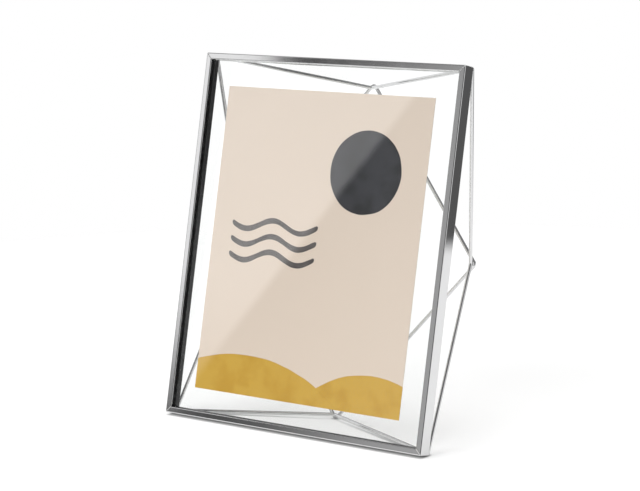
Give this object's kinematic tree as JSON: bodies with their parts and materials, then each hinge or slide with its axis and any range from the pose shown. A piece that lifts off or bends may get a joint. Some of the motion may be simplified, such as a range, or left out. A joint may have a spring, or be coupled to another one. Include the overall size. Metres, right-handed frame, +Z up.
{
  "type": "photo frame",
  "caption": "Slim metal photo frame that floats a print between two panes of glass and leans on a stand of bent wire.",
  "frame": {"origin": "on the floor, under the middle of the standing frame's bounding box", "axes": "+Z up, +X to the viewer's right, -Y out of the front of the frame towards the viewer; the frame stands at rest leaning back 12 degrees"},
  "size_m": [0.254, 0.1288, 0.3007],
  "materials": {
    "rail_chrome": "satin plated, soft reflections",
    "wire_chrome": "smooth plated round wire",
    "clear_glass": "clear float glass, ground edges",
    "print_paper": "matt printed paper"
  },
  "bodies": {
    "frame": {"top_rail": "rail_chrome", "bottom_rail": "rail_chrome", "left_rail": "rail_chrome", "right_rail": "rail_chrome", "top_wire": "wire_chrome", "bottom_wire": "wire_chrome", "left_wire": "wire_chrome", "right_wire": "wire_chrome", "diamond_wire": "wire_chrome"},
    "front_pane": {"front_glass": "clear_glass"},
    "rear_pane": {"rear_glass": "clear_glass"},
    "print": {"photo_print": "print_paper"}
  },
  "joints": [
    {"name": "front_glass_slide", "type": "slide", "parent": "frame", "child": "front_pane", "axis": [0, 0.208, 0.9781], "range_m": [0, 0.31]},
    {"name": "rear_glass_slide", "type": "slide", "parent": "frame", "child": "rear_pane", "axis": [0, 0.208, 0.9781], "range_m": [0, 0.31]},
    {"name": "print_slide", "type": "slide", "parent": "frame", "child": "print", "axis": [0, 0.208, 0.9781], "range_m": [0, 0.31]}
  ],
  "couplings": [
    {"joint": "print_slide", "follows": "rear_glass_slide", "ratio": 1}
  ]
}
